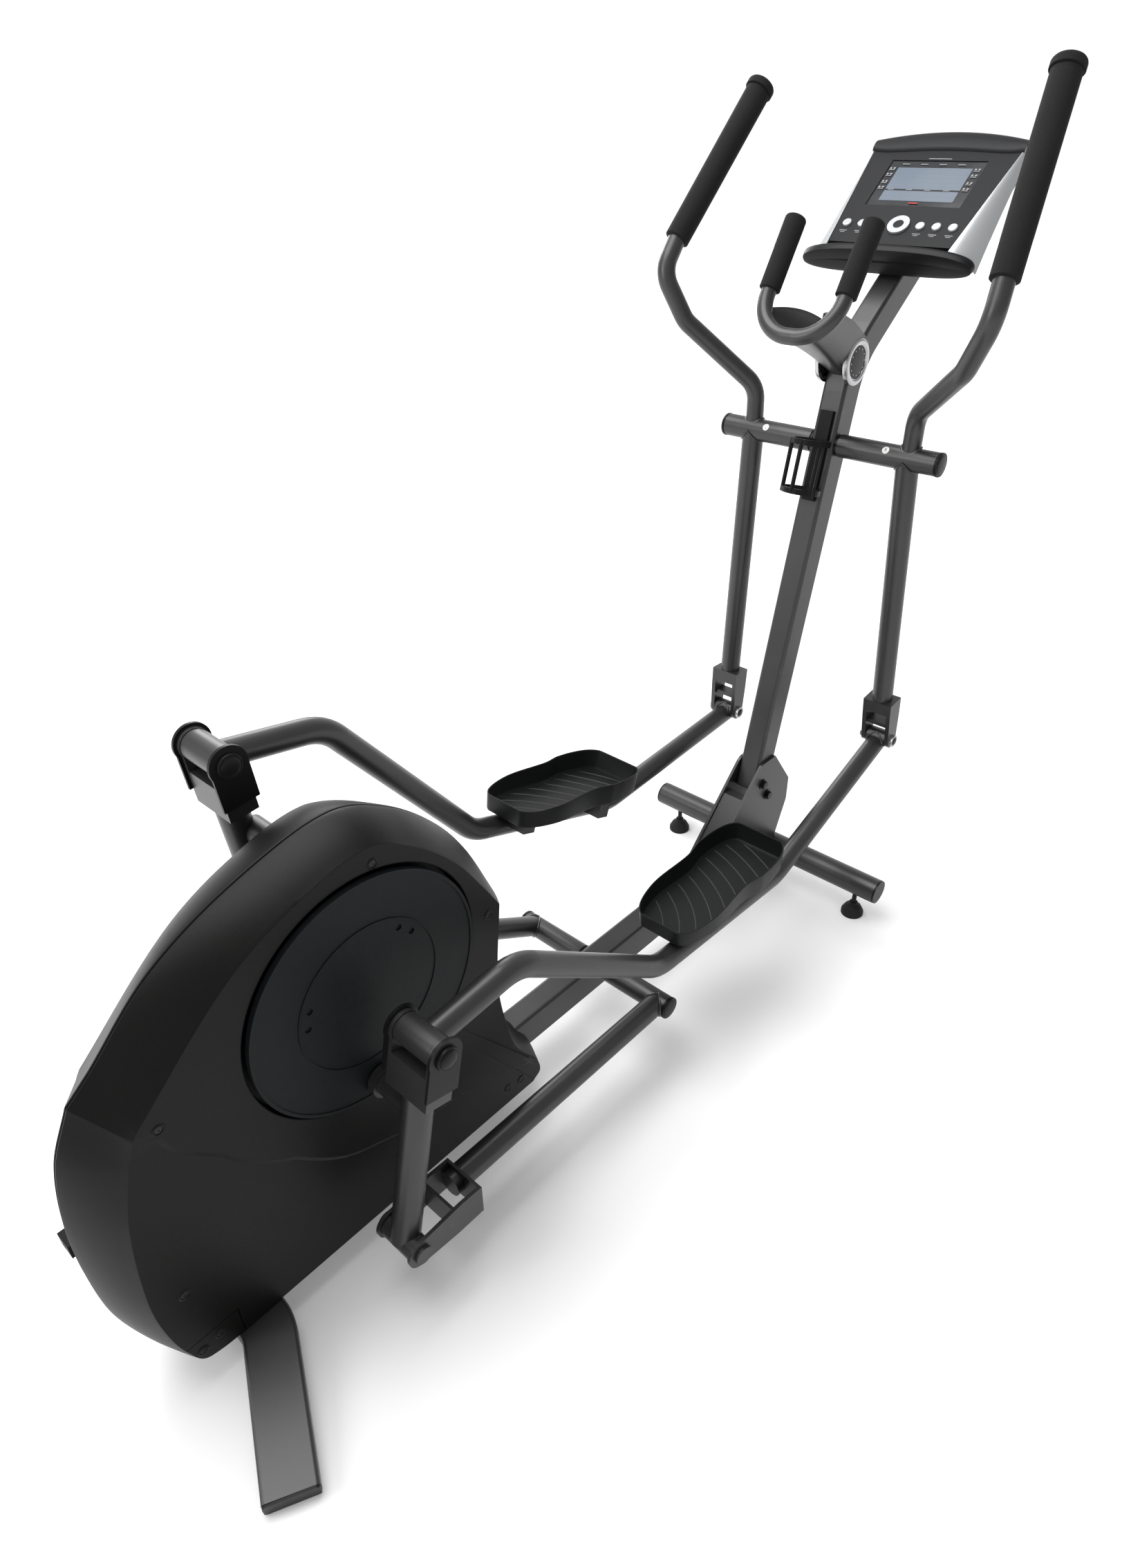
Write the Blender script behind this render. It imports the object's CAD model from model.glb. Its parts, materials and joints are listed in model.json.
import json
from math import atan2, cos, degrees, hypot, pi, radians, sin

import bmesh
import bpy
from mathutils import Matrix, Vector


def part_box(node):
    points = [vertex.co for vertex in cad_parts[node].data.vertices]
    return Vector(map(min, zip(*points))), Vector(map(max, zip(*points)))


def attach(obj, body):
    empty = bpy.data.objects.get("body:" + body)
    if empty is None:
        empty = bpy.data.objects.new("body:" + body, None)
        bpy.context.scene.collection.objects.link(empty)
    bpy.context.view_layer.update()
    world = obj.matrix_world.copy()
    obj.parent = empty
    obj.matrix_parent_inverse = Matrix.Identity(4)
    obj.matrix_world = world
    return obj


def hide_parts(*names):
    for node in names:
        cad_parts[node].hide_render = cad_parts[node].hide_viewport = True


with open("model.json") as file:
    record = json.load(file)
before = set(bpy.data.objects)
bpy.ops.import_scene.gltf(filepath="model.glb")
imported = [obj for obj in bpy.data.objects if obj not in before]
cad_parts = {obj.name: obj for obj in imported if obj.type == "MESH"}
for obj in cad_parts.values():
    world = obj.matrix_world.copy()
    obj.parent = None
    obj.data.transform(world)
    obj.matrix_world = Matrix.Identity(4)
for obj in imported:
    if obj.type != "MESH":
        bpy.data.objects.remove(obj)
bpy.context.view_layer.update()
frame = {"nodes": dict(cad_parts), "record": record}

SIDES = {"right": -1, "left": 1}

# Lengths below are millimetres. Stations run forward from the crank axle.
disc_low, disc_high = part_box("crank_discs")
axle_x = (disc_low.x + disc_high.x) * 500
axle_z = round((disc_low.z + disc_high.z) * 500, 1)
UP = Vector((0, 0, 1))


# ---------------------------------------------------------------- finishes
class Amount:
    """A number that varies over a surface, for use in plain expressions."""

    def __init__(self, finish, socket):
        self.finish, self.socket = finish, socket

    def combine(self, operation, *values):
        node = self.finish.add("ShaderNodeMath", {"operation": operation}, dict(enumerate(values)))
        return Amount(self.finish, node.outputs[0])

    def __add__(self, other):
        return self.combine("ADD", self, other)

    def __sub__(self, other):
        return self.combine("SUBTRACT", self, other)

    def __rsub__(self, other):
        return self.combine("SUBTRACT", other, self)

    def __mul__(self, other):
        return self.combine("MULTIPLY", self, other)

    def __pow__(self, other):
        return self.combine("POWER", self, other)

    def __gt__(self, other):
        return self.combine("GREATER_THAN", self, other)

    __radd__, __rmul__ = __add__, __mul__

    def fraction(self):
        return self.combine("FRACT", self)

    def between(self, low, high):
        """0 at low, 1 at high, eased and held outside."""
        settings = {"interpolation_type": "SMOOTHSTEP"}
        node = self.finish.add("ShaderNodeMapRange", settings, {0: self, 1: low, 2: high})
        return Amount(self.finish, node.outputs[0])


class Finish:
    """A material for this machine, with the pattern tied to the piece's own place."""

    def __init__(self, name, colour, roughness, metallic=0.0, specular=0.5, coat=0.0, coat_roughness=0.1):
        self.material = bpy.data.materials.new(name)
        self.material.use_nodes = True
        self.tree = self.material.node_tree
        self.surface = next(n for n in self.tree.nodes if n.type == "BSDF_PRINCIPLED")
        fixed = {
            "Base Color": (*colour, 1),
            "Roughness": roughness,
            "Metallic": metallic,
            "Specular IOR Level": specular,
            "Coat Weight": coat,
            "Coat Roughness": coat_roughness,
        }
        for socket, value in fixed.items():
            self.surface.inputs[socket].default_value = value
        self.material.diffuse_color = (*colour, 1)
        self.place = self.add("ShaderNodeTexCoord", {}, {}).outputs["Object"]

    def add(self, kind, settings, values):
        node = self.tree.nodes.new(kind)
        for name, setting in settings.items():
            setattr(node, name, setting)
        for socket, value in values.items():
            value = getattr(value, "socket", value)
            if isinstance(value, bpy.types.NodeSocket):
                self.tree.links.new(value, node.inputs[socket])
            else:
                node.inputs[socket].default_value = value
        return node

    def feed(self, socket, value):
        self.tree.links.new(getattr(value, "socket", value), self.surface.inputs[socket])

    def grain(self, scale, detail=2.0, rough=0.5, stretch=None):
        place = self.place
        if stretch:
            place = self.add("ShaderNodeMapping", {}, {"Vector": place, "Scale": stretch}).outputs[0]
        values = {"Vector": place, "Scale": scale, "Detail": detail, "Roughness": rough}
        return Amount(self, self.add("ShaderNodeTexNoise", {}, values).outputs[0])

    def cells(self, scale):
        values = {"Vector": self.place, "Scale": scale}
        return Amount(self, self.add("ShaderNodeTexVoronoi", {}, values).outputs["Distance"])

    def along(self, axis):
        return Amount(self, self.add("ShaderNodeSeparateXYZ", {}, {0: self.place}).outputs[axis])

    def blend(self, amount, low, high):
        low = (*low, 1) if isinstance(low, tuple) else low
        high = (*high, 1) if isinstance(high, tuple) else high
        return self.add("ShaderNodeMix", {"data_type": "RGBA"}, {0: amount, 6: low, 7: high}).outputs[2]

    def relief(self, height, distance, strength=1.0):
        values = {"Height": height, "Distance": distance, "Strength": strength}
        self.feed("Normal", self.add("ShaderNodeBump", {}, values).outputs[0])


def metallic_coat(name, dark, light, roughness=0.34, metallic=0.6):
    """Powder coat with fine flake, soft orange peel and rubbed patches."""
    f = Finish(name, light, roughness, metallic, 0.5, 0.12, 0.25)
    flake = f.grain(2600, 1.0)
    cloud = f.grain(7, 3.0)
    rubbed = f.grain(34, 6.0, 0.65).between(0.62, 0.76)
    f.feed("Base Color", f.blend(cloud * 0.55 + flake * 0.45 + rubbed * 0.2, dark, light))
    f.feed("Roughness", roughness - 0.05 + cloud * 0.1 + flake * 0.07 - rubbed * 0.08)
    f.relief(f.grain(420, 2.0) * 0.6 + flake * 0.4, 0.00012, 0.5)
    return f.material


def plastic(name, dark, light, roughness, texture=900, depth=0.00016, scuffs=0.3):
    """Injection-moulded plastic with an even spark texture and faint handling marks."""
    f = Finish(name, light, roughness, 0, 0.15)
    pores = f.cells(texture)
    cloud = f.grain(5, 3.0)
    marks = f.grain(60, 5.0, 0.7, (1, 1, 0.16)).between(0.66, 0.8)
    f.feed("Base Color", f.blend(cloud * 0.6 + pores * 0.5 + marks * scuffs, dark, light))
    f.feed("Roughness", roughness - 0.06 + cloud * 0.12 + marks * 0.08)
    f.relief(pores + f.grain(240, 2.0) * 0.3, depth, 0.55)
    return f.material


def foam_rubber(name, dark, light):
    """Closed-cell foam: tiny pits, a dry bloom and darker worn areas."""
    f = Finish(name, light, 0.86, 0, 0.14)
    pits = f.cells(1500)
    bloom = f.grain(16, 4.0, 0.6)
    f.feed("Base Color", f.blend(bloom * 0.7 + pits * 0.5, dark, light))
    f.feed("Roughness", 0.76 + bloom * 0.16)
    f.relief(pits * 0.8 + f.grain(700, 3.0) * 0.5, 0.0003, 0.7)
    return f.material


def bright_metal(name, dark, light, roughness, brushed=(1, 1, 1)):
    f = Finish(name, light, roughness, 1.0)
    lines = f.grain(900, 3.0, 0.6, brushed)
    cloud = f.grain(24, 3.0)
    f.feed("Base Color", f.blend(lines * 0.5 + cloud * 0.5, dark, light))
    f.feed("Roughness", roughness - 0.06 + lines * 0.12 + cloud * 0.06)
    f.relief(lines, 0.00006, 0.5)
    return f.material


def silver_paint(name):
    f = Finish(name, (0.42, 0.43, 0.44), 0.32, 0.35, 0.5, 0.3, 0.12)
    flake = f.grain(3200, 1.0)
    f.feed("Base Color", f.blend(flake, (0.30, 0.31, 0.32), (0.44, 0.45, 0.46)))
    f.feed("Roughness", 0.26 + flake * 0.1 + f.grain(12, 3.0) * 0.08)
    f.relief(flake, 0.00004, 0.4)
    return f.material


def smoked_glass(name):
    f = Finish(name, (0.012, 0.013, 0.015), 0.12, 0, 0.5, 0.6, 0.04)
    smear = f.grain(22, 4.0, 0.6)
    f.feed("Roughness", 0.08 + smear * 0.12)
    f.feed("Base Color", f.blend(smear, (0.010, 0.011, 0.013), (0.016, 0.017, 0.020)))
    return f.material


def liquid_crystal(name):
    """Grey-blue display with a faint grid of unlit segments."""
    f = Finish(name, (0.10, 0.13, 0.17), 0.22, 0, 0.5, 0.4, 0.05)
    columns = (f.along("Y") * 220).fraction()
    rows = (f.along("Z") * 150).fraction()
    cell = (columns > 0.16) * (rows > 0.14)
    cloud = f.grain(9, 2.0)
    base = f.blend(cloud, (0.085, 0.11, 0.15), (0.13, 0.16, 0.20))
    f.feed("Base Color", f.blend(cell * 0.12, base, (0.055, 0.065, 0.09)))
    f.feed("Roughness", 0.18 + cloud * 0.1)
    return f.material


frame_coat = metallic_coat("graphite powder coat", (0.024, 0.024, 0.0245), (0.068, 0.066, 0.066))
weld_coat = metallic_coat("coated weld", (0.04, 0.039, 0.04), (0.11, 0.107, 0.108), 0.25, 0.75)
black_shell = plastic("black shell plastic", (0.0018, 0.0018, 0.0018), (0.0052, 0.0050, 0.0047), 0.42)
disc_grey = plastic("disc plastic", (0.0038, 0.0048, 0.0056), (0.0085, 0.0100, 0.0112), 0.50, 1200)
satin_trim = plastic(
    "satin trim plastic", (0.004, 0.004, 0.0045), (0.010, 0.010, 0.0105), 0.36, 1600, 0.00008
)
foam = foam_rubber("grip foam", (0.0060, 0.0058, 0.0060), (0.017, 0.016, 0.016))
console_grey = plastic(
    "console plastic", (0.0055, 0.0058, 0.0065), (0.0125, 0.013, 0.0145), 0.40, 1500, 0.0001
)
black_screw = bright_metal("black oxide screw", (0.022, 0.022, 0.024), (0.05, 0.05, 0.052), 0.42)
chrome = bright_metal("badge chrome", (0.30, 0.30, 0.31), (0.55, 0.55, 0.56), 0.2)
silver = silver_paint("silver painted plastic")
FINISHES = {
    "frame_coat": frame_coat,
    "black_plastic": black_shell,
    "disc_plastic": disc_grey,
    "trim_plastic": satin_trim,
    "foam": foam,
    "foot_rubber": plastic("foot rubber", (0.010, 0.010, 0.010), (0.021, 0.021, 0.021), 0.62, 700),
    "steel": bright_metal("zinc steel", (0.42, 0.42, 0.43), (0.66, 0.66, 0.67), 0.34, (1, 1, 12)),
    "screw_black": black_screw,
    "iron": bright_metal("cast iron", (0.16, 0.16, 0.165), (0.27, 0.265, 0.26), 0.55),
    "silver_plastic": silver,
    "console_plastic": console_grey,
    "window": smoked_glass("smoked window"),
    "lcd": liquid_crystal("display glass"),
    "badge": chrome,
}
tray_rubber = plastic(
    "tread plastic", (0.004, 0.0044, 0.0047), (0.0110, 0.0115, 0.0120), 0.42, 1100, 0.0002, 0.5
)
rib_plastic = plastic("worn tread rib", (0.022, 0.023, 0.023), (0.060, 0.061, 0.061), 0.5, 1100, 0.0001)
label_white = plastic("label white", (0.60, 0.60, 0.58), (0.76, 0.76, 0.74), 0.45, 1800, 0.00003)
print_grey = plastic("printed grey", (0.22, 0.22, 0.23), (0.34, 0.34, 0.35), 0.5, 1800, 0.00003)
mark_red = plastic("printed red", (0.35, 0.03, 0.03), (0.45, 0.05, 0.04), 0.5, 1800, 0.00003)
dark_enamel = plastic("badge enamel", (0.012, 0.012, 0.013), (0.022, 0.022, 0.023), 0.25, 1800, 0.00004)

slot_of = {part["node"]: part["material_slot"] for part in frame["record"]["subparts"]}
for name, node in frame["nodes"].items():
    node.data.materials.clear()
    node.data.materials.append(FINISHES[slot_of.get(name, "frame_coat")])


# ---------------------------------------------------------------- making pieces
def let_go():
    """Nothing selected, nothing being edited."""
    if bpy.context.object and bpy.context.object.mode != "OBJECT":
        bpy.ops.object.mode_set(mode="OBJECT")
    bpy.ops.object.select_all(action="DESELECT")


def hold(piece):
    let_go()
    piece.select_set(True)
    bpy.context.view_layer.objects.active = piece


def pick(piece, wanted):
    """In edit mode, select the faces for which wanted(centre, normal) is true."""
    bpy.ops.mesh.select_mode(type="FACE")
    bpy.ops.mesh.select_all(action="DESELECT")
    mesh = bmesh.from_edit_mesh(piece.data)
    for face in mesh.faces:
        face.select_set(bool(wanted(face.calc_center_median(), face.normal)))
    bmesh.update_edit_mesh(piece.data)


def add_modifier(piece, kind, **settings):
    hold(piece)
    modifier = piece.modifiers.new(kind.lower(), kind)
    for name, value in settings.items():
        setattr(modifier, name, value)
    bpy.ops.object.modifier_apply(modifier=modifier.name)


def settle(piece, name, finish, body, stands_for=(), angle=32):
    """Last steps of every piece: name, finish, smooth faces, the body it rides on."""
    hold(piece)
    bpy.ops.object.transform_apply(location=True, rotation=True, scale=True)
    piece.name = piece.data.name = name
    piece.data.materials.clear()
    piece.data.materials.append(finish)
    bpy.ops.object.shade_smooth_by_angle(angle=radians(angle))
    if stands_for:
        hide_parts(*stands_for)
    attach(piece, body)
    let_go()
    return piece


def from_faces(points, faces, outward=True):
    """A mesh object from millimetre points, its doubles merged and its faces turned out."""
    mesh = bpy.data.meshes.new("shape")
    mesh.from_pydata([Vector(p) / 1000 for p in points], [], faces)
    work = bmesh.new()
    work.from_mesh(mesh)
    bmesh.ops.remove_doubles(work, verts=work.verts, dist=1e-6)
    if outward:
        bmesh.ops.recalc_face_normals(work, faces=work.faces)
    work.to_mesh(mesh)
    work.free()
    piece = bpy.data.objects.new("shape", mesh)
    bpy.context.collection.objects.link(piece)
    return piece


def face_along(piece, heading):
    """Turn an open sheet's faces to look along a heading."""
    work = bmesh.new()
    work.from_mesh(piece.data)
    for face in work.faces:
        if face.normal.dot(heading) < 0:
            face.normal_flip()
    work.to_mesh(piece.data)
    work.free()


def skin(rings, closed=True, capped=(False, False)):
    """Points and faces of a surface through rings of equal count."""
    count = len(rings[0])
    points = [p for ring in rings for p in ring]
    faces = []
    for i in range(len(rings) - 1):
        for j in range(count if closed else count - 1):
            k = (j + 1) % count
            faces.append((i * count + j, i * count + k, (i + 1) * count + k, (i + 1) * count + j))
    if capped[0]:
        faces.append(tuple(range(count))[::-1])
    if capped[1]:
        faces.append(tuple((len(rings) - 1) * count + j for j in range(count)))
    return points, faces


def merged(parts):
    """Several (points, faces) sets as one."""
    points, faces = [], []
    for more_points, more_faces in parts:
        base = len(points)
        points += more_points
        faces += [tuple(i + base for i in face) for face in more_faces]
    return points, faces


def across(heading):
    """Two unit vectors square to a heading."""
    side = heading.cross(UP if abs(heading.z) < 0.9 else Vector((0, 1, 0))).normalized()
    return side, side.cross(heading).normalized()


def turned(centre, heading, profile, count=48):
    """Surface of revolution: profile is (radius, distance along the heading)."""
    heading = heading.normalized()
    u, v = across(heading)
    rings = []
    for radius, along in profile:
        ring = []
        for i in range(count):
            turn = 2 * pi * i / count
            ring.append(centre + heading * along + (u * cos(turn) + v * sin(turn)) * max(radius, 0.001))
        rings.append(ring)
    return skin(rings)


def round_cap(centre, heading, radius, height, crown, count=40):
    """Domed cap with a rounded shoulder and a shallow ring."""
    profile = [(0, -1.0), (radius, -1.0), (radius, height - 1.6)]
    profile += [(radius - 0.5, height - 0.6), (radius - 1.6, height)]
    inner = radius - 3.4
    for i in range(9):
        r = inner * cos(i / 8 * pi / 2)
        profile.append((r, height - 0.5 + crown * sin(i / 8 * pi / 2)))
    return turned(centre, heading, profile, count)


def place(base, tilt, local):
    """Station and height of a point in a frame that leans forward by tilt degrees."""
    c, s = cos(radians(tilt)), sin(radians(tilt))
    return base[0] + local[0] * c + local[1] * s, base[1] - local[0] * s + local[1] * c


def at(station, y, z):
    return Vector((axle_x + station, y, z))


def flowing(corners, sharp, steps):
    """Closed outline through its corners, rounded except at the sharp ones."""
    count, outline = len(corners), []
    for i in range(count):
        a, b = corners[i], corners[(i + 1) % count]
        before = a if i in sharp else corners[i - 1]
        after = b if (i + 1) % count in sharp else corners[(i + 2) % count]
        reach = hypot(b[0] - a[0], b[1] - a[1])
        start = [b[k] - before[k] for k in (0, 1)]
        end = [after[k] - a[k] for k in (0, 1)]
        for tangent in (start, end):
            length = hypot(*tangent) or 1
            tangent[:] = [t / length * reach for t in tangent]
        for step in range(steps):
            t = step / steps
            h = (2 * t**3 - 3 * t**2 + 1, t**3 - 2 * t**2 + t, 3 * t**2 - 2 * t**3, t**3 - t**2)
            point = [h[0] * a[k] + h[1] * start[k] + h[2] * b[k] + h[3] * end[k] for k in (0, 1)]
            outline.append(tuple(point))
    return outline


def grown(outline, amount):
    """The outline moved outwards, or inwards for a negative amount."""
    count, moved = len(outline), []
    turn = sum(outline[i - 1][0] * outline[i][1] - outline[i][0] * outline[i - 1][1] for i in range(count))
    way = 1 if turn > 0 else -1
    for i in range(count):
        a, b = outline[i - 2], outline[(i + 2) % count]
        dx, dz = b[0] - a[0], b[1] - a[1]
        length = hypot(dx, dz) or 1
        x, z = outline[i]
        moved.append((x + way * dz / length * amount, z - way * dx / length * amount))
    return moved


def between_lines(start, end, shares):
    """Points part of the way from one outline to another."""
    return [(a[0] + (b[0] - a[0]) * t, a[1] + (b[1] - a[1]) * t) for a, b, t in zip(start, end, shares)]


# ---------------------------------------------------------------- drive housing
# Corners of one half: station and height on the middle seam, then on the edge of the side face.
SHELL = [
    (33, 779, 37, 754), (125, 738, 110, 713), (200, 670, 177, 645), (252, 592, 224, 571),
    (282, 515, 254, 518), (264, 380, 238, 365), (268, 275, 246, 275), (300, 185, 268, 185),
    (336, 125, 315, 115), (342, 78, 323, 75), (325, 58, 305, 58), (-235, 58, -235, 60),
    (-362, 60, -355, 66), (-402, 110, -380, 110), (-430, 195, -396, 190),
    (-438, 300, -399, 270), (-434, 405, -386, 400), (-415, 505, -362, 494), (-380, 576, -344, 541),
    (-343, 606, -337, 551), (-243, 694, -190, 678), (-115, 752, -85, 730),
]
SHARP = {4, 8, 10, 11, 18, 19}
BEAK = (18, 19)
STEPS = 12
seam_line = flowing([c[:2] for c in SHELL], SHARP, STEPS)
ridge_line = flowing([c[2:] for c in SHELL], SHARP, STEPS)
side_y, pocket_y, pocket_r = 72.0, 53.0, 196.0
# Character line under the disc: angle round the axle (degrees) and distance from it.
CREASE = [
    (175.5, 343), (181, 312), (203, 267), (231.5, 255.5), (263, 299), (286, 348), (298, 397),
    (307, 497), (310, 520),
]
CREASE_DROP = 2.6


def crease_reach(angle):
    angle %= 360
    for (a, ra), (b, rb) in zip(CREASE, CREASE[1:]):
        if a <= angle <= b:
            t = (angle - a) / (b - a)
            t = t * t * (3 - 2 * t) * 0.5 + t * 0.5
            return ra + (rb - ra) * t
    return None


def housing_half(side):
    def ring(outline, y):
        return [at(x, side * y, z) for x, z in outline]

    angles = [degrees(atan2(z - axle_z, x)) % 360 for x, z in ridge_line]
    inner_face = grown(ridge_line, -5)
    drops, crease_in, crease_out = [], [], []
    for angle, (x, z) in zip(angles, inner_face):
        reach = crease_reach(angle)
        own = hypot(x, z - axle_z)
        fade = max(0, min(1, (angle - 176.5) / 5, (309 - angle) / 5)) if reach else 0
        far = min(reach + 7, own - 0.6) if reach else own - 1.2
        near = min(reach, own - 1.5) if reach else own - 2.4
        unit = (x / own, (z - axle_z) / own)
        drops.append(CREASE_DROP * fade)
        crease_out.append((unit[0] * far, axle_z + unit[1] * far))
        crease_in.append((unit[0] * near, axle_z + unit[1] * near))

    def lowered(outline, y):
        return [at(x, side * (y - d), z) for (x, z), d in zip(outline, drops)]

    def circle(radius, y):
        turns = [radians(a) for a in angles]
        return [at(radius * cos(a), side * y, axle_z + radius * sin(a)) for a in turns]

    # The crown between seam and side face fades out towards the flat beak.
    beak_start, beak_end = (corner * STEPS for corner in BEAK)
    crown = [min(1, max(beak_start - i, i - beak_end, 0) / 14) for i in range(len(seam_line))]
    rings = [ring(grown(seam_line, inset), y) for inset, y in ((-3.2, 0.3), (-1.1, 0.5), (-0.2, 1.5))]
    rings.append(ring(seam_line, 3.0))
    for step in range(1, 16):
        t = step / 16
        mixed = between_lines(seam_line, ridge_line, [t] * len(seam_line))
        y = 3.0 + (side_y - 4.4) * t
        crowned = between_lines(mixed, grown(mixed, 4.5 * sin(pi * t) ** 0.8), crown)
        rings.append([at(x, side * (y - d * t), z) for (x, z), d in zip(crowned, drops)])
    rings.append(lowered(grown(ridge_line, -0.1), side_y - 0.5))
    rings.append(lowered(grown(ridge_line, -0.6), side_y))
    rings.append(lowered(inner_face, side_y))
    rings.append(lowered(crease_out, side_y))
    rings.append(ring(crease_in, side_y))
    lip = [(pocket_r + 2.2, side_y), (pocket_r + 0.8, side_y - 0.5), (pocket_r, side_y - 1.8)]
    pocket = [(pocket_r, pocket_y + 1), (pocket_r - 1, pocket_y), (60, pocket_y), (34, pocket_y), (34, 46)]
    rings += [circle(radius, y) for radius, y in lip + pocket]
    return from_faces(*skin(rings))


def keep_faces(source, wanted, cuts):
    """A copy of a shell cut along planes, keeping the faces whose centre is wanted."""
    piece = source.copy()
    piece.data = source.data.copy()
    bpy.context.collection.objects.link(piece)
    work = bmesh.new()
    work.from_mesh(piece.data)
    for spot, normal in cuts:
        everything = work.verts[:] + work.edges[:] + work.faces[:]
        spot = Vector(spot) / 1000
        bmesh.ops.bisect_plane(work, geom=everything, plane_co=spot, plane_no=normal, dist=1e-7)
    unwanted = [f for f in work.faces if not wanted(f.calc_center_median() * 1000)]
    bmesh.ops.delete(work, geom=unwanted, context="FACES")
    work.to_mesh(piece.data)
    work.free()
    return piece


COVER_FRONT, COVER_TOP, COVER_GAP = -300, 118, 1.2
RAIL_LOW, RAIL_HIGH, RAIL_SIDE = 86.5, 157.5, 25.2


def in_cover(p, slack):
    return p.x < axle_x + COVER_FRONT - slack and p.z < COVER_TOP - slack


def in_rail_hole(p):
    return p.x > axle_x + 200 and abs(p.y) < RAIL_SIDE and RAIL_LOW < p.z < RAIL_HIGH


SHELL_WALL = 0.0026  # metres
covers = []
for name, side in SIDES.items():
    whole = housing_half(side)
    shell_cuts = [
        ((axle_x + COVER_FRONT, 0, 0), (1, 0, 0)),
        ((0, 0, COVER_TOP), (0, 0, 1)),
        ((0, 0, RAIL_LOW), (0, 0, 1)),
        ((0, 0, RAIL_HIGH), (0, 0, 1)),
        ((0, side * RAIL_SIDE, 0), (0, 1, 0)),
    ]
    shell = keep_faces(whole, lambda p: not in_cover(p, 0) and not in_rail_hole(p), shell_cuts)
    add_modifier(shell, "SOLIDIFY", thickness=SHELL_WALL, offset=-1.0, use_even_offset=False)
    settle(shell, f"drive_shell_{name}", black_shell, "frame", (f"housing_{name}",), 13)
    cover_cuts = [
        ((axle_x + COVER_FRONT - COVER_GAP, 0, 0), (1, 0, 0)),
        ((0, 0, COVER_TOP - COVER_GAP), (0, 0, 1)),
    ]
    cover = keep_faces(whole, lambda p: in_cover(p, COVER_GAP), cover_cuts)
    add_modifier(cover, "SOLIDIFY", thickness=SHELL_WALL, offset=-1.0, use_even_offset=False)
    covers.append(cover)
    bpy.data.objects.remove(whole)
hold(covers[0])
covers[1].select_set(True)
bpy.ops.object.join()
settle(covers[0], "rear_cover_skin", black_shell, "frame", ("rear_lower_cover",), 13)

SCREWS = [
    (-313, 534), (40, 726), (229, 513), (-356, 227), (229, 172), (243, 96), (275, 91), (-333, 98),
    (-362, 92),
]
WELL_PROFILE = [(9, -1.5), (9, 0.2), (8.2, 0.8), (6.6, 1.0), (6.0, 0.5), (5.8, -1.0)]
SCREW_PROFILE = [(0.1, 0.1), (1.9, 0.1), (2.1, 0.7), (4.2, 0.75), (5.2, 0.3), (5.8, -0.6)]
screw_parts, eyelet_parts = [], []
for side in (-1, 1):
    outward = Vector((0, side, 0))
    for station, z in SCREWS:
        level = side_y - CREASE_DROP if z < 240 else side_y
        spot = at(station, side * level, z)
        eyelet_parts.append(turned(spot, outward, WELL_PROFILE, 28))
        screw_parts.append(turned(spot, outward, SCREW_PROFILE, 24))
screws = from_faces(*merged(screw_parts))
settle(screws, "shell_screws", black_screw, "frame", ("housing_screws",))
eyelets = from_faces(*merged(eyelet_parts))
settle(eyelets, "screw_wells", black_shell, "frame", ())


# ---------------------------------------------------------------- linkage places
swing_pivot = (1235.5, 991.0)
rocker_pivot = (553.5, 132.0)
TILTS = {  # link, swing arm, pedal arm and rocker, leaning forward, in the standing position
    "right": {"link": 13.65, "swing": -7.73, "arm": 5.89, "rocker": 0.76},
    "left": {"link": -4.60, "swing": 1.83, "arm": 20.50, "rocker": 30.81},
}
arm_y, link_y, rocker_y, handle_y = 166.0, 177.0, 160.0, 168.0
sleeve_r, rear_sleeve_r, yoke_eye_r = 21.0, 23.0, 18.0
swing_tube_r, arm_tube_r, arm_nose_r, handle_tube_r = 21.0, 20.5, 17.0, 17.0
arm_length = 1322  # from the yoke pin to the link


def middle(node):
    low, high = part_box(node)
    return (low + high) * 500


# ---------------------------------------------------------------- hand grips
def foam_sleeve(name, start, end, radius, bore, body, node, cap=None):
    """A round grip: cylinder drawn out, a rolled lower lip, a rounded or flared top."""
    length = (end - start).length
    let_go()
    bpy.ops.mesh.primitive_cylinder_add(vertices=48, radius=radius / 1000, depth=length / 1000)
    grip = bpy.context.object
    bpy.ops.object.mode_set(mode="EDIT")
    half = length / 2000
    pick(grip, lambda c, n: n.z < -0.9)
    bpy.ops.mesh.inset(thickness=0.0012, depth=0.001)
    bpy.ops.mesh.inset(thickness=(radius - bore - 1.4) / 1000, depth=0.0006)
    bpy.ops.mesh.extrude_region_move(TRANSFORM_OT_translate={"value": (0, 0, 0.02)})
    pick(grip, lambda c, n: n.z > 0.9 and c.z > half * 0.9)
    if cap:  # a narrow neck, then a wider rolled end
        neck = 0.955
        steps = [(0.0004, neck), (0.0012, 1), (0.0006, cap / (radius * neck)), (0.009, 1)]
        steps += [(0.0024, 0.97), (0.002, 0.94), (0.0016, 0.9), (0.0012, 0.82)]
    else:
        steps = [(0.0022, 0.97), (0.0018, 0.93), (0.0014, 0.86), (0.0008, 0.74)]
    for rise, scale in steps:
        bpy.ops.mesh.extrude_region_move(TRANSFORM_OT_translate={"value": (0, 0, rise)})
        if scale != 1:
            bpy.ops.transform.resize(value=(scale, scale, 1))
    if cap:
        bpy.ops.mesh.inset(thickness=0.003, depth=-0.0006)
        bpy.ops.mesh.inset(thickness=0.004, depth=0.0008)
    bpy.ops.object.mode_set(mode="OBJECT")
    heading = (end - start).normalized()
    turn = heading.to_track_quat("Z", "Y").to_matrix().to_4x4()
    grip.matrix_world = Matrix.Translation((start + end) / 2000) @ turn
    return settle(grip, name, foam, body, (node,) if node else (), 40)


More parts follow.
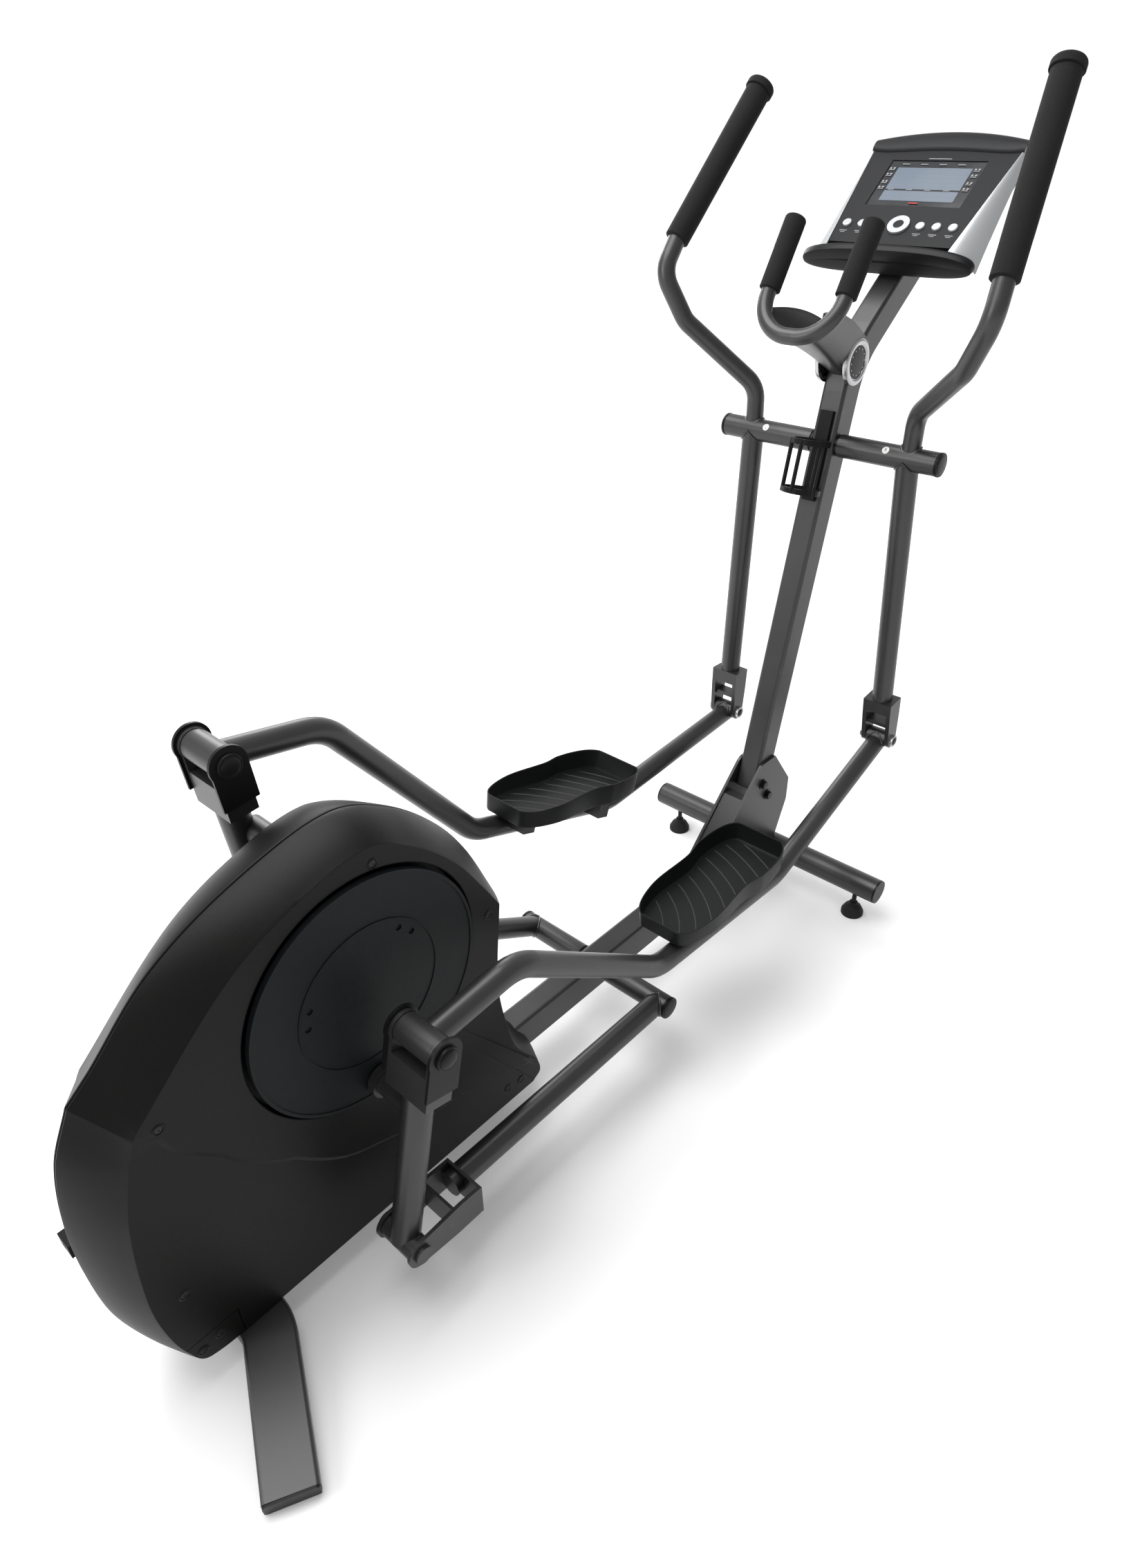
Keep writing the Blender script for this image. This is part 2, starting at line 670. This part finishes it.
handle_run = [  # forward, outward and up from the upper axle
    (4, 168, 12), (4, 172, 79), (-88, 286, 196), (-111, 327, 278), (-79, 323, 331), (108, 293, 564),
]
for name, side in SIDES.items():
    tilt = TILTS[name]["swing"]
    run = []
    for x, y, z in handle_run:
        station, height = place(swing_pivot, tilt, (x, z))
        run.append(at(station, side * y, height))
    foam_sleeve(f"hand_grip_{name}", run[-2], run[-1] - (run[-1] - run[-2]).normalized() * 6, 23.0, 17.0,
                f"swing_{name}", f"handle_grip_{name}", 26.0)
for name, side in SIDES.items():
    upper, lower = at(1167, side * 73, 1365), at(1104, side * 73, 1266)
    node = "pulse_grips" if side < 0 else None
    foam_sleeve(f"pulse_foam_{name}", lower, upper, 18.5, 13.5, "frame", node)


# ---------------------------------------------------------------- foot trays
def tray(name, side):
    node = f"pedal_tray_{name}"
    tilt = radians(TILTS[name]["arm"] - 7.9)
    forward, normal = Vector((cos(tilt), 0, -sin(tilt))), Vector((sin(tilt), 0, cos(tilt)))
    origin = middle(node) - normal * 22
    half = [(166, 50), (84, 78), (14, 69), (-100, 72), (-166, 42)]
    left_half = [(x * 0.985, y) for x, y in half]
    outline = flowing(left_half + [(x, -y) for x, y in reversed(left_half)], set(), 14)
    outline = [(max(-164.5, min(164.5, x)), max(-77, min(77, y))) for x, y in outline]

    def rim_height(x):
        return 43.6 - 9 * max(0, min(1, (-x + 10) / 150)) ** 1.5

    def ring(amount, level, rim=0.0):
        points = []
        for (x, y), (base_x, _) in zip(grown(outline, amount), outline):
            height = level + rim * rim_height(base_x)
            points.append(origin + forward * x + Vector((0, y, 0)) + normal * height)
        return points

    def spine(share, level):
        points = []
        for x, y in grown(outline, -14):
            sideways = Vector((0, y * share, 0))
            points.append(origin + forward * (x * (0.35 + 0.65 * share)) + sideways + normal * level)
        return points

    underside = [spine(0.02, 0.4), spine(0.5, 0.3), ring(-14, 0.2), ring(-6.5, 0.2), ring(-3.2, 1.4)]
    wall = [
        ring(-2.0, 4.0), ring(0, 0, 0.96), ring(0.1, 0, 0.985), ring(-0.6, 0.2, 1), ring(-1.8, 0.2, 1),
        ring(-2.6, 0, 0.985), ring(-2.9, 0, 0.95), ring(-4.6, 9), ring(-6.0, 6.4), ring(-9.0, 5.2),
    ]
    tread = [ring(-14, 5.0), spine(0.5, 5.0), spine(0.02, 5.0)]
    piece = from_faces(*skin(underside + wall + tread, capped=(True, True)))
    settle(piece, f"foot_tray_{name}", tray_rubber, f"arm_{name}", (node,), 35)

    # Tread ribs: arcs round a point behind the inner heel, cut off at the wall.
    ribs = []
    edge = grown(outline, -9)

    def inside(x, y):
        hits = False
        for i in range(len(edge)):
            (ax, ay), (bx, by) = edge[i - 1], edge[i]
            if (ay > y) != (by > y) and x < (bx - ax) * (y - ay) / (by - ay) + ax:
                hits = not hits
        return hits

    heel = (-250, -side * 150)
    for radius in range(120, 460, 30):
        span = []
        for i in range(121):
            turn = radians(-30 + i * 150 / 120) * side
            x, y = heel[0] + radius * cos(turn), heel[1] + radius * sin(turn)
            if inside(x, y):
                span.append((x, y, turn))
            elif len(span) > 6:
                break
            else:
                span = []
        if len(span) <= 6:
            continue
        rows = []
        for k, (x, y, turn) in enumerate(span):
            crest = 5.0 + 0.9 * min(1, k / 4, (len(span) - 1 - k) / 4)
            row = []
            for off, high in ((-1.3, 4.9), (-0.5, crest), (0.5, crest), (1.3, 4.9)):
                px, py = x + off * cos(turn), y + off * sin(turn)
                row.append(origin + forward * px + Vector((0, py, 0)) + normal * high)
            rows.append(row)
        ribs.append(skin(rows, closed=False))
    strips = from_faces(*merged(ribs), outward=False)
    face_along(strips, normal)
    settle(strips, f"tread_ribs_{name}", rib_plastic, f"arm_{name}", (), 60)


for name, side in SIDES.items():
    tray(name, side)


# ---------------------------------------------------------------- weld beads
def weld_bead(centre, heading, sleeve_axis, tube_r, sleeve_r, bead=2.6):
    """Rippled bead where a round tube meets a sleeve: the saddle curve of the two."""
    heading = heading.normalized()
    axis = sleeve_axis.normalized()
    sideways = heading.cross(axis).normalized()
    along = sideways.cross(heading).normalized()
    count, rings = 96, []
    for i in range(count):
        turn = 2 * pi * i / count
        reach = tube_r * sin(turn)
        height = max(0.0, sleeve_r**2 - reach**2) ** 0.5
        middle_point = centre + along * (tube_r * cos(turn)) + sideways * reach + heading * (height + 0.4)
        out = (along * cos(turn) + sideways * sin(turn)).normalized()
        size = bead * (1 + 0.22 * abs(sin(turn * 17)))
        ring = []
        for j in range(8):
            a = 2 * pi * j / 8
            ring.append(middle_point + out * (size * cos(a)) + heading * (size * 0.8 * sin(a)))
        rings.append(ring)
    rings.append(rings[0])
    return skin(rings)


def weld_piece(beads, name, body):
    settle(from_faces(*merged(beads)), name, weld_coat, body, (), 60)


AXIS_Y = Vector((0, 1, 0))
for name, side in SIDES.items():
    tilts = TILTS[name]
    low_spot, high_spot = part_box(f"yoke_pin_{name}")
    front = (((low_spot.x + high_spot.x) * 500) - axle_x, (low_spot.z + high_spot.z) * 500)
    down = Vector((sin(radians(tilts["swing"])), 0, cos(radians(tilts["swing"]))))
    pivot = at(swing_pivot[0], side * arm_y, swing_pivot[1])
    lower = weld_bead(pivot, -down, AXIS_Y, swing_tube_r, sleeve_r)
    upper_x, upper_z = place(swing_pivot, tilts["swing"], (4, 0))
    upper = weld_bead(at(upper_x, side * handle_y, upper_z), down, AXIS_Y, handle_tube_r, sleeve_r)
    weld_piece([lower, upper], f"swing_welds_{name}", f"swing_{name}")

    arm_tilt = tilts["arm"]
    arm_run = [(0, -10), (383, -188), (776, -198), (1144, 26), (arm_length, -6)]
    spots = []
    for run_back, rise in arm_run:
        station, height = place(front, arm_tilt, (-run_back, rise))
        spots.append(at(station, side * (arm_y + (link_y - arm_y) * run_back / arm_length), height))
    rear_weld = weld_bead(spots[-1], spots[-2] - spots[-1], AXIS_Y, arm_tube_r, rear_sleeve_r)
    yoke = at(front[0], side * arm_y, front[1])
    front_weld = weld_bead(yoke, spots[1] - spots[0], AXIS_Y, arm_nose_r, yoke_eye_r, 2.2)
    weld_piece([rear_weld, front_weld], f"arm_welds_{name}", f"arm_{name}")

    back = Vector((-cos(radians(tilts["rocker"])), 0, sin(radians(tilts["rocker"]))))
    pivot = at(rocker_pivot[0], side * rocker_y, rocker_pivot[1])
    bead = weld_bead(pivot, back, AXIS_Y, sleeve_r, sleeve_r)
    weld_piece([bead], f"rocker_weld_{name}", f"rocker_{name}")


# ---------------------------------------------------------------- caps on pivots
def cap_piece(caps, name, body):
    settle(from_faces(*merged(caps)), name, satin_trim, body, (), 28)


for name, side in SIDES.items():
    tilts = TILTS[name]
    out = Vector((0, side, 0))
    link_low, link_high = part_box(f"link_trim_{name}")
    outer_y = (link_high.y if side > 0 else link_low.y) * 1000
    inner_y = (link_low.y if side > 0 else link_high.y) * 1000
    # The link's top pivot is the centre of the round ends of its side plates.
    front_pin = middle(f"yoke_pin_{name}")
    top = place((front_pin.x - axle_x, front_pin.z), tilts["arm"], (-arm_length, 0))
    caps = [
        round_cap(at(top[0], outer_y - side * 5.0, top[1]), out, 18.5, 5.6, 4.5),
        round_cap(at(top[0], inner_y + side * 5.0, top[1]), -out, 18.5, 5.0, 3.0),
    ]
    cap_piece(caps, f"link_caps_{name}", f"link_{name}")

    pin_low, pin_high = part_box(f"yoke_pin_{name}")
    heads = [
        round_cap(Vector((front_pin.x, end - way * 4.5, front_pin.z)), AXIS_Y * way, 13.0, 4.6, 2.6, 32)
        for end, way in ((pin_low.y * 1000, -1), (pin_high.y * 1000, 1))
    ]
    cap_piece(heads, f"yoke_heads_{name}", f"swing_{name}")

end_caps = []
for side in (-1, 1):
    out = Vector((0, side, 0))
    end_caps.append(round_cap(at(swing_pivot[0], side * 226.0, swing_pivot[1]), out, 21.6, 4.4, 2.4))
    end_caps.append(round_cap(at(rocker_pivot[0], side * 184.0, rocker_pivot[1]), out, 21.6, 4.4, 2.4))
cap_piece(end_caps, "sleeve_end_caps", "frame")


# ---------------------------------------------------------------- side stickers
def wrapped(centre, radius, facing, x, y):
    """A flat point (x across, y up) laid on a sleeve that runs along Y."""
    turn = facing + y / radius
    return centre + Vector((-cos(turn) * radius, x, sin(turn) * radius))


for name, side in SIDES.items():
    centre = at(swing_pivot[0], side * 128, swing_pivot[1])
    facing = radians(38)
    rings = []
    for r in (0.01, 2.2, 4.4, 6.4, 6.7):
        lift = 21.35 if r < 6.5 else 21.0
        ring = []
        for i in range(40):
            a = 2 * pi * i / 40
            ring.append(wrapped(centre, lift, facing, r * cos(a), r * sin(a)))
        rings.append(ring)
    sticker = from_faces(*skin(rings))
    settle(sticker, f"side_sticker_{name}", label_white, f"swing_{name}", ())
    let_go()
    bpy.ops.object.text_add()
    letter = bpy.context.object
    letter.data.body = name[0].upper()
    letter.data.size, letter.data.extrude = 8.5, 0.08
    letter.data.align_x, letter.data.align_y = "CENTER", "CENTER"
    bpy.ops.object.convert(target="MESH")
    letter = bpy.context.object
    for vertex in letter.data.vertices:
        x, y, z = vertex.co
        vertex.co = wrapped(centre, 21.4 + z, facing, -x, y) / 1000
    letter.data.update()
    settle(letter, f"side_letter_{name}", black_screw, f"swing_{name}", ())


# ---------------------------------------------------------------- pulse grip collar
def collar_point(s, q):
    """s runs from the grips down to the badge, q across from the right edge to the left."""
    axis_x = 1070 + 220 * s
    top = 1243 - 14 * s - 62 * s**2.2
    low = 1196 - 22 * s - 88 * s**1.3
    half = 50 - 21 * min(1, s * 1.15) ** 0.8
    turn = pi * (q + 1) / 2
    y = -half * (1 if cos(turn) > 0 else -1) * abs(cos(turn)) ** 0.55
    drop = abs(sin(turn)) ** 0.75
    return at(axis_x + 10 * (1 - drop) * (1 - s), y, top - (top - low) * drop)


rows = [[collar_point(i / 28, -1 + 2 * j / 44) for j in range(45)] for i in range(29)]
collar = from_faces(*skin(rows, closed=False))
add_modifier(collar, "SOLIDIFY", thickness=0.003, offset=0.0)
add_modifier(collar, "BEVEL", width=0.0008, segments=2, limit_method="ANGLE")
settle(collar, "grip_collar", frame_coat, "frame", ("grip_bracket",), 40)

BADGE_RING = [(41, -4), (41, 1.2), (40.2, 3.2), (38, 4.8), (34.5, 5.4), (30.8, 4.8), (28.6, 3.2), (28, 1.4)]
BADGE_DISC = [(28.6, 1.0), (28.2, 2.2), (22, 2.9), (12, 3.3), (0.01, 3.4)]
badge_rings, badge_faces, badge_marks = [], [], []
for side in (-1, 1):
    out = Vector((0, side, 0))
    spot = at(1253, side * 29, 1137)
    badge_rings.append(turned(spot, out, BADGE_RING, 72))
    badge_faces.append(turned(spot, out, BADGE_DISC, 72))
    for turn in range(12):
        a = 2 * pi * turn / 12
        dot = spot + Vector((cos(a) * 23, 0, sin(a) * 23))
        badge_marks.append(turned(dot, out, [(1.1, 2.2), (1.1, 3.3), (0.01, 3.4)], 12))
settle(from_faces(*merged(badge_rings)), "badge_rings", chrome, "frame", ("badge",))
settle(from_faces(*merged(badge_faces)), "badge_discs", dark_enamel, "frame", ())
settle(from_faces(*merged(badge_marks)), "badge_dots", chrome, "frame", ())


# ---------------------------------------------------------------- console
face_low, face_high = at(1366, 0, 1315), at(1571, 0, 1471)
face_up = (face_high - face_low).normalized()
face_out = Vector((-face_up.z, 0, face_up.x))
face_mid = (face_low + face_high) / 2
half_run = (face_high - face_low).length / 2


def on_face(right, up, out):
    return face_mid + Vector((0, -right, 0)) + face_up * up + face_out * out


# Brow: an arched band over the top of the face, thick above and thin below.
rows = []
for i in range(49):
    t = -1 + 2 * i / 48
    x = t * 146
    crest = half_run - 8 + 20 * (1 - t * t) - 1.5
    lower = half_run - 44 + 12 * (1 - t * t) + 10 * t**6
    row = [(lower - 1, -1.0), (lower, 2.2), (lower + 3, 4.6), (lower + 8, 5.6), ((crest + lower) / 2, 6.4),
           (crest - 6, 5.4), (crest - 1.5, 3.2), (crest, 0), (crest - 0.5, -9)]
    rows.append([on_face(x, y, z) for y, z in row])
brow = from_faces(*skin(rows, closed=False))
add_modifier(brow, "SOLIDIFY", thickness=0.0018, offset=-1.0)
settle(brow, "console_brow", console_grey, "frame", (), 40)

# Wings: crowned silver cheeks that flare towards the bottom.
wing_parts = []
for side in (-1, 1):
    rows = []
    for i in range(25):
        t = i / 24
        up = half_run - 9 - t * (2 * half_run + 4)
        inner = 145.5 - 27 * t
        outer = 151 + 17 * t**1.6 - 2 * (1 - t)
        row = []
        for k in range(13):
            q = k / 12
            x = inner + (outer - inner) * q
            out = 0.5 - 2 * q - (14 + 22 * t) * q**2.6
            row.append(on_face(side * x, up, out))
        rows.append(row)
    wing_parts.append(skin(rows, closed=False))
wings = from_faces(*merged(wing_parts), outward=False)
face_along(wings, face_out)
add_modifier(wings, "SOLIDIFY", thickness=0.003, offset=-1.0)
settle(wings, "console_cheeks", silver, "frame", ("console_wings",), 40)

# Reading ledge: a dished black shelf with full round ends and a raised front lip.
SHELF = [(-22, 30), (-26, 10), (-22, 2), (-8, 0), (4, 0), (9, 2), (10, 6), (4, 12), (2, 26)]
rings = []
for level, shrink in SHELF:
    ring = []
    for i in range(96):
        a = 2 * pi * i / 96
        c, s = cos(a), sin(a)
        x = (168 - shrink) * (1 if c > 0 else -1) * abs(c) ** 0.62
        depth = ((30 if s > 0 else 27) - shrink * 0.9) * (1 if s > 0 else -1) * abs(s) ** 0.8
        bow = -10 * (x / 168) ** 2
        ring.append(on_face(x, -half_run - 11 + level * 0.45 + bow * 0.4, -22 + depth))
    rings.append(ring)
ledge = from_faces(*skin(rings, capped=(True, True)))
settle(ledge, "reading_shelf", satin_trim, "frame", ("reading_ledge",), 40)

marks = []


def dash(x, y, wide, high):
    """A thin printed bar on the console face."""
    signs = ((-1, -1), (1, -1), (1, 1), (-1, 1))
    corners = [(x + i * wide / 2, y + j * high / 2) for i, j in signs]
    rings = [[on_face(a, b, level) for a, b in corners] for level in (-0.15, 0.15)]
    return skin(rings, capped=(True, True))


for x in (-111, -78, -45, 45, 78, 111):
    marks.append(dash(x * 0.93, -half_run + 27, 15, 1.5))
    marks.append(dash(x * 0.93, -half_run + 23.5, 9, 1.2))
for x in (-60, -24, 12, 48):
    marks.append(dash(x, 62.5, 14, 1.4))
    marks.append(dash(x, 0.5, 12, 1.2))
for x in (-82, 82):
    for y in (48, 34, 16, 2):
        marks.append(dash(x, y, 11, 1.3))
        marks.append(dash(x - 3.5, y + 4, 3.6, 3.6))
        marks.append(dash(x + 3.5, y + 4, 3.6, 3.6))
marks.append(dash(0, 76, 44, 1.4))
settle(from_faces(*merged(marks)), "console_marks", print_grey, "frame", ())
settle(from_faces(*dash(0, -31, 18, 2.4)), "console_red_mark", mark_red, "frame", ())


# ---------------------------------------------------------------- stage
let_go()
bpy.ops.mesh.primitive_plane_add(size=60)
floor = bpy.context.object
floor.name = "floor"
white = Finish("studio floor", (0.86, 0.86, 0.86), 0.9, 0, 0.1)
reach = (white.along("X") ** 2 + white.along("Y") ** 2) ** 0.5
away = reach.between(1.4, 5.0)
white.feed("Emission Color", white.blend(away, (0.10, 0.10, 0.10), (0.75, 0.75, 0.75)))
white.surface.inputs["Emission Strength"].default_value = 1.0
floor.data.materials.append(white.material)
bpy.ops.mesh.primitive_plane_add(size=1)
backdrop = bpy.context.object
backdrop.matrix_world = (
    Matrix.Rotation(radians(43.3), 4, "Z")
    @ Matrix.Translation((13, 0, 7))
    @ Matrix.Rotation(radians(-90), 4, "Y")
    @ Matrix.Diagonal((16, 40, 1, 1))
)
backdrop.name = "backdrop"
sky = Finish("backdrop paper", (0.05, 0.05, 0.05), 0.95, 0, 0.1)
sky.feed("Emission Color", sky.blend(sky.grain(0.2, 1.0), (0.97, 0.97, 0.97), (1.0, 1.0, 1.0)))
sky.surface.inputs["Emission Strength"].default_value = 1.0
backdrop.data.materials.append(sky.material)


def lamp(name, location, target, size, power):
    light = bpy.data.lights.new(name, "AREA")
    light.shape, light.size, light.size_y = "RECTANGLE", size[0], size[1]
    light.energy = power
    lamp_object = bpy.data.objects.new(name, light)
    bpy.context.collection.objects.link(lamp_object)
    lamp_object.location = location
    lamp_object.rotation_mode = "QUATERNION"
    lamp_object.rotation_quaternion = (Vector(target) - Vector(location)).to_track_quat("-Z", "Y")


lamp("overhead softbox", (-0.5, 0.9, 3.9), (0, 0, 0.5), (3.4, 2.6), 160)
lamp("rear left window", (-3.6, 1.6, 2.6), (-0.3, 0, 0.6), (1.8, 1.8), 60)
lamp("front left window", (1.8, 3.4, 2.4), (0.4, 0, 0.8), (2.0, 1.6), 60)
world = bpy.data.worlds.new("studio")
bpy.context.scene.world = world
world.use_nodes = True
world.node_tree.nodes["Background"].inputs[0].default_value = (1, 1, 1, 1)
world.node_tree.nodes["Background"].inputs[1].default_value = 0.5

camera_data = bpy.data.cameras.new("camera")
camera_data.sensor_fit = "AUTO"
camera_data.sensor_width = 36
camera_data.lens = 23.035
camera_data.shift_x, camera_data.shift_y = -0.0010, 0.0008
camera = bpy.data.objects.new("camera", camera_data)
bpy.context.collection.objects.link(camera)
yaw, pitch, roll = radians(43.27327), radians(-34.07966), radians(-1.44403)
ahead = Vector((cos(pitch) * cos(yaw), cos(pitch) * sin(yaw), sin(pitch)))
right = Vector((sin(yaw), -cos(yaw), 0))
up = right.cross(ahead)
right, up = right * cos(roll) + up * sin(roll), up * cos(roll) - right * sin(roll)
turn = Matrix((right, up, -ahead)).transposed().to_4x4()
camera.matrix_world = Matrix.Translation(Vector((axle_x - 530.2, -958.9, 1533.2)) / 1000) @ turn
bpy.context.scene.camera = camera
bpy.context.scene.view_settings.view_transform = "Standard"
